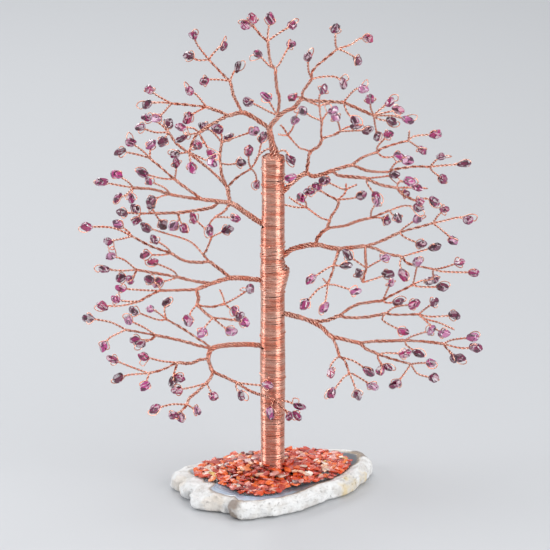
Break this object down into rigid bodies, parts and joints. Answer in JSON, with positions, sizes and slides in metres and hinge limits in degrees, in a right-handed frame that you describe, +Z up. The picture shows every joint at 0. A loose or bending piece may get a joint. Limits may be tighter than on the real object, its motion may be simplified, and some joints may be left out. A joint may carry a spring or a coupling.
{
  "type": "wire gemstone tree",
  "caption": "Tabletop tree of twisted copper wire with purple-red stone chips at its twig tips, a wire-wrapped trunk and a red chip mound on an agate slice.",
  "frame": {"origin": "on the agate slice's underside, under the trunk's axis", "axes": "+Z up along the trunk, +X to the right of the tree's face, which looks along -Y"},
  "size_m": [0.2, 0.086, 0.2499],
  "materials": {
    "trunk_copper": "bright wound copper wire",
    "branch_copper": "bright twisted copper wire",
    "garnet_spray": "polished purple-red garnet chips on twisted copper wire",
    "jasper": "polished red jasper chips",
    "resin": "clear glue",
    "agate": "polished grey-blue face, rough white rind"
  },
  "bodies": {
    "root": {"agate_slice": "agate", "crown_leader": "branch_copper", "jasper_chips": "jasper", "limb_left_lower": "branch_copper", "limb_left_middle": "branch_copper", "limb_left_upper": "branch_copper", "limb_right_lower": "branch_copper", "limb_right_middle": "branch_copper", "limb_right_upper": "branch_copper", "resin_bed": "resin", "spray_behind_right": "garnet_spray", "spray_crown_east": "garnet_spray", "spray_crown_east_top": "garnet_spray", "spray_crown_top": "garnet_spray", "spray_crown_west": "garnet_spray", "spray_crown_west_low": "garnet_spray", "spray_crown_west_top": "garnet_spray", "spray_inner_left": "garnet_spray", "spray_inner_right": "garnet_spray", "spray_left_high": "garnet_spray", "spray_left_low": "garnet_spray", "spray_left_low_far": "garnet_spray", "spray_left_lower_far": "garnet_spray", "spray_left_lower_high": "garnet_spray", "spray_left_middle_far": "garnet_spray", "spray_left_middle_high": "garnet_spray", "spray_left_middle_inner": "garnet_spray", "spray_left_middle_low": "garnet_spray", "spray_left_middle_mid": "garnet_spray", "spray_left_rise": "garnet_spray", "spray_left_upper_far": "garnet_spray", "spray_left_upper_mid": "garnet_spray", "spray_left_upper_tip": "garnet_spray", "spray_left_upper_under": "garnet_spray", "spray_low_front": "garnet_spray", "spray_right_low_drop": "garnet_spray", "spray_right_low_mid": "garnet_spray", "spray_right_low_tip": "garnet_spray", "spray_right_lower_high": "garnet_spray", "spray_right_lower_mid": "garnet_spray", "spray_right_middle_far": "garnet_spray", "spray_right_middle_high": "garnet_spray", "spray_right_middle_inner": "garnet_spray", "spray_right_middle_low": "garnet_spray", "spray_right_middle_tip": "garnet_spray", "spray_right_rise_left": "garnet_spray", "spray_right_rise_right": "garnet_spray", "spray_right_upper_high": "garnet_spray", "spray_right_upper_low": "garnet_spray", "spray_right_upper_tip": "garnet_spray", "trunk_core": "trunk_copper", "trunk_wrap_collar": "trunk_copper", "trunk_wrap_lower": "trunk_copper", "trunk_wrap_upper": "trunk_copper"}
  },
  "joints": []
}
